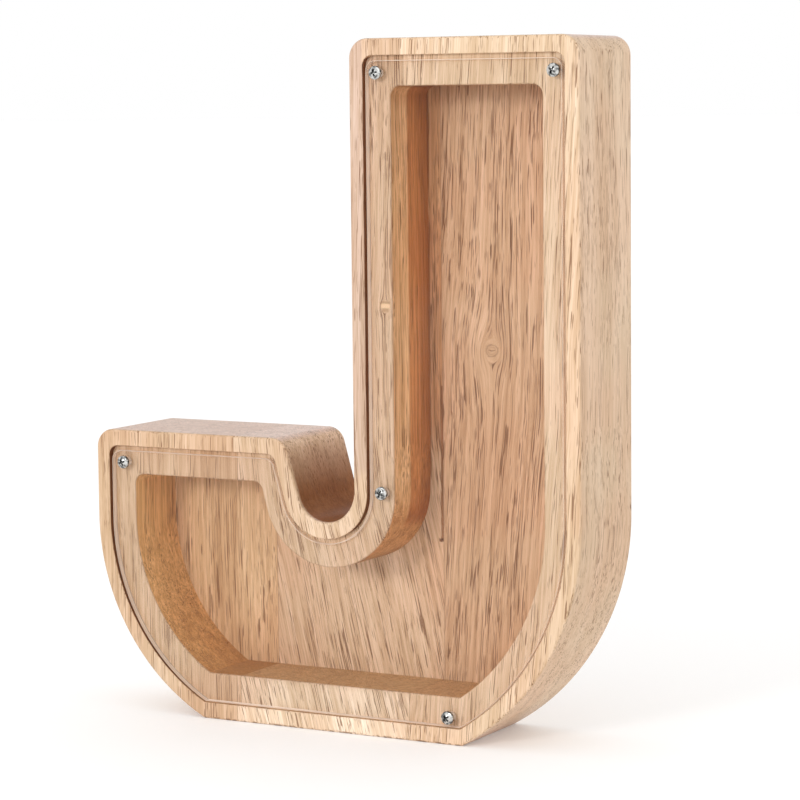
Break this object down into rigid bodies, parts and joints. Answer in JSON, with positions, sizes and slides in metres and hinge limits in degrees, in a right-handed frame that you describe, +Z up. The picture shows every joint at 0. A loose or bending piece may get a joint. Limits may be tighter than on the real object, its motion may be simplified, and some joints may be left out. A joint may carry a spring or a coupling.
{
  "type": "money box",
  "caption": "Wooden money box in the shape of a letter, hollow behind a screwed-on clear front panel, with a coin slot in its top.",
  "frame": {"origin": "the middle of the foot, on the plane the letter stands on, midway between the letter's left and right sides and between its wooden front and back faces", "axes": "+Z up the stem, +X to the right as the letter is read, the front with the clear panel faces -Y"},
  "size_m": [0.161, 0.0363, 0.2],
  "materials": {
    "left_board": "satin",
    "middle_board": "satin",
    "right_board": "satin",
    "clear_panel": "gloss",
    "zinc": "bright"
  },
  "bodies": {
    "wooden_letter": {"left_stave": "left_board", "middle_stave": "middle_board", "right_stave": "right_board"},
    "window": {"window_panel": "clear_panel"},
    "screw_top_left_body": {"screw_top_left": "zinc"},
    "screw_top_right_body": {"screw_top_right": "zinc"},
    "screw_inner_corner_body": {"screw_inner_corner": "zinc"},
    "screw_hook_body": {"screw_hook": "zinc"},
    "screw_base_body": {"screw_base": "zinc"}
  },
  "joints": [
    {"name": "window_lift_off", "type": "slide", "parent": "wooden_letter", "child": "window", "axis": [0, -1, 0], "range_m": [0, 0.04]},
    {"name": "screw_top_left_withdraw", "type": "slide", "parent": "window", "child": "screw_top_left_body", "axis": [0, -1, 0], "range_m": [0, 0.012]},
    {"name": "screw_top_right_withdraw", "type": "slide", "parent": "window", "child": "screw_top_right_body", "axis": [0, -1, 0], "range_m": [0, 0.012]},
    {"name": "screw_inner_corner_withdraw", "type": "slide", "parent": "window", "child": "screw_inner_corner_body", "axis": [0, -1, 0], "range_m": [0, 0.012]},
    {"name": "screw_hook_withdraw", "type": "slide", "parent": "window", "child": "screw_hook_body", "axis": [0, -1, 0], "range_m": [0, 0.012]},
    {"name": "screw_base_withdraw", "type": "slide", "parent": "window", "child": "screw_base_body", "axis": [0, -1, 0], "range_m": [0, 0.012]}
  ]
}
